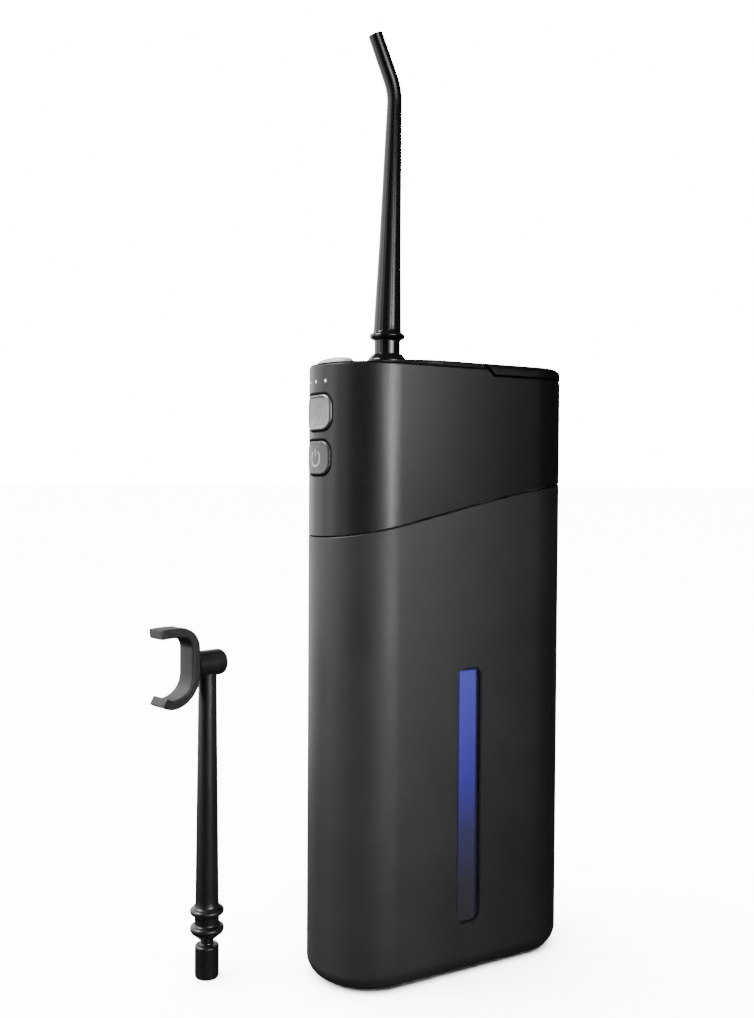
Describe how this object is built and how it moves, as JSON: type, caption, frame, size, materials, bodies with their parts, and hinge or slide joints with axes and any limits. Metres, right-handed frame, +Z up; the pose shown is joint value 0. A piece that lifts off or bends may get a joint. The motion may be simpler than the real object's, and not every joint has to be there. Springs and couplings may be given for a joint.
{
  "type": "water flosser",
  "caption": "Cordless water flosser: slim stadium body with front window, lift-off pump head, two side buttons, swivelling jet tip, hinged tip store and a spare U-shaped tip.",
  "frame": {"origin": "centre of the body's resting face", "axes": "+Z up along the body, front face with the window looks along -Y, button end looks along -X"},
  "size_m": [0.1062, 0.0349, 0.2315],
  "materials": {
    "sleeve_plastic": "fine matte charcoal moulding",
    "housing_plastic": "satin black moulding",
    "gloss_black": "polished black",
    "window_blue": "translucent blue, lit from above",
    "tank_clear": "clear blue tint",
    "soft_rubber": "matte black rubber",
    "silver_button": "pale silver satin",
    "metal_button": "gunmetal satin",
    "indicator_white": "white light pipe",
    "inner_nylon": "natural moulding",
    "bright_steel": "bright",
    "board_green": "solder-masked board",
    "cell_wrap": "shrink wrap",
    "fork_soft": "soft-touch dark grey"
  },
  "bodies": {
    "tank": {"tank_sleeve": "sleeve_plastic", "window_lens": "window_blue", "water_tank": "tank_clear", "base_foot": "soft_rubber"},
    "head": {"head_housing": "housing_plastic", "deck_cover": "gloss_black", "inner_chassis": "inner_nylon", "tank_seal": "soft_rubber", "store_cup": "inner_nylon", "indicator_1": "indicator_white", "indicator_2": "indicator_white", "indicator_3": "indicator_white", "battery_cell": "cell_wrap", "motor_can": "bright_steel", "gear_plate": "inner_nylon", "pump_cylinder": "inner_nylon", "inlet_valve": "inner_nylon", "inlet_manifold": "inner_nylon", "outlet_valve": "inner_nylon", "nozzle_socket": "inner_nylon", "circuit_board": "board_green", "switch_power": "bright_steel", "switch_mode": "bright_steel", "usb_port": "bright_steel", "latch_bracket": "inner_nylon", "release_spring": "bright_steel", "suction_tube": "inner_nylon", "intake_filter": "soft_rubber"},
    "power_key": {"power_button": "metal_button"},
    "mode_key": {"mode_button": "metal_button"},
    "release_key": {"release_button": "silver_button"},
    "swivel": {"swivel_collar": "gloss_black"},
    "jet_tip": {"jet_nozzle": "gloss_black"},
    "lid": {"store_lid": "gloss_black"},
    "port_flap": {"port_cover": "soft_rubber"},
    "motor_pinion": {"pinion": "bright_steel"},
    "crank": {"crank_gear": "inner_nylon"},
    "pump_piston": {"piston": "inner_nylon"},
    "pump_rod": {"connecting_rod": "bright_steel"},
    "spare_tip": {"spare_stem": "gloss_black", "spare_fork": "fork_soft"}
  },
  "joints": [
    {"name": "head_lift", "type": "slide", "parent": "tank", "child": "head", "axis": [0, 0, 1], "range_m": [0, 0.125]},
    {"name": "power_press", "type": "slide", "parent": "head", "child": "power_key", "axis": [1, 0, 0], "range_m": [0, 0.0008], "stiffness_N_per_m": 1500},
    {"name": "mode_press", "type": "slide", "parent": "head", "child": "mode_key", "axis": [1, 0, 0], "range_m": [0, 0.0008], "stiffness_N_per_m": 1500},
    {"name": "release_press", "type": "slide", "parent": "head", "child": "release_key", "axis": [0, 0, -1], "range_m": [0, 0.0012], "stiffness_N_per_m": 900, "deforming": ["release_spring"]},
    {"name": "nozzle_turn", "type": "hinge", "parent": "head", "child": "swivel", "pos_m": [-0.0153, 0, 0.1508], "axis": [0, 0, 1], "continuous": true},
    {"name": "nozzle_pull", "type": "slide", "parent": "swivel", "child": "jet_tip", "axis": [0, 0, 1], "range_m": [0, 0.02]},
    {"name": "lid_open", "type": "hinge", "parent": "head", "child": "lid", "pos_m": [0.034, 0, 0.1477], "axis": [0, 1, 0], "range_deg": [0, 100]},
    {"name": "port_flap_open", "type": "hinge", "parent": "head", "child": "port_flap", "pos_m": [0, 0.0151, 0.1411], "axis": [1, 0, 0], "range_deg": [0, 100], "stiffness_Nm_per_rad": 0.001},
    {"name": "crank_turn", "type": "hinge", "parent": "head", "child": "crank", "pos_m": [-0.01035, 0, 0.128], "axis": [0, 0, 1], "continuous": true},
    {"name": "pinion_turn", "type": "hinge", "parent": "head", "child": "motor_pinion", "pos_m": [-0.0005, 0, 0.128], "axis": [0, 0, 1], "continuous": true},
    {"name": "piston_stroke", "type": "slide", "parent": "head", "child": "pump_piston", "axis": [1, 0, 0], "range_m": [0, 0.0035]},
    {"name": "rod_swing", "type": "hinge", "parent": "pump_piston", "child": "pump_rod", "pos_m": [-0.0202, 0, 0.1346], "axis": [0, 0, 1], "range_deg": [-12, 12]},
    {"name": "spare_lift", "type": "slide", "parent": "tank", "child": "spare_tip", "axis": [0, 0, 1], "range_m": [0, 0.1]}
  ],
  "couplings": [
    {"joint": "pinion_turn", "follows": "crank_turn", "ratio": -3}
  ]
}
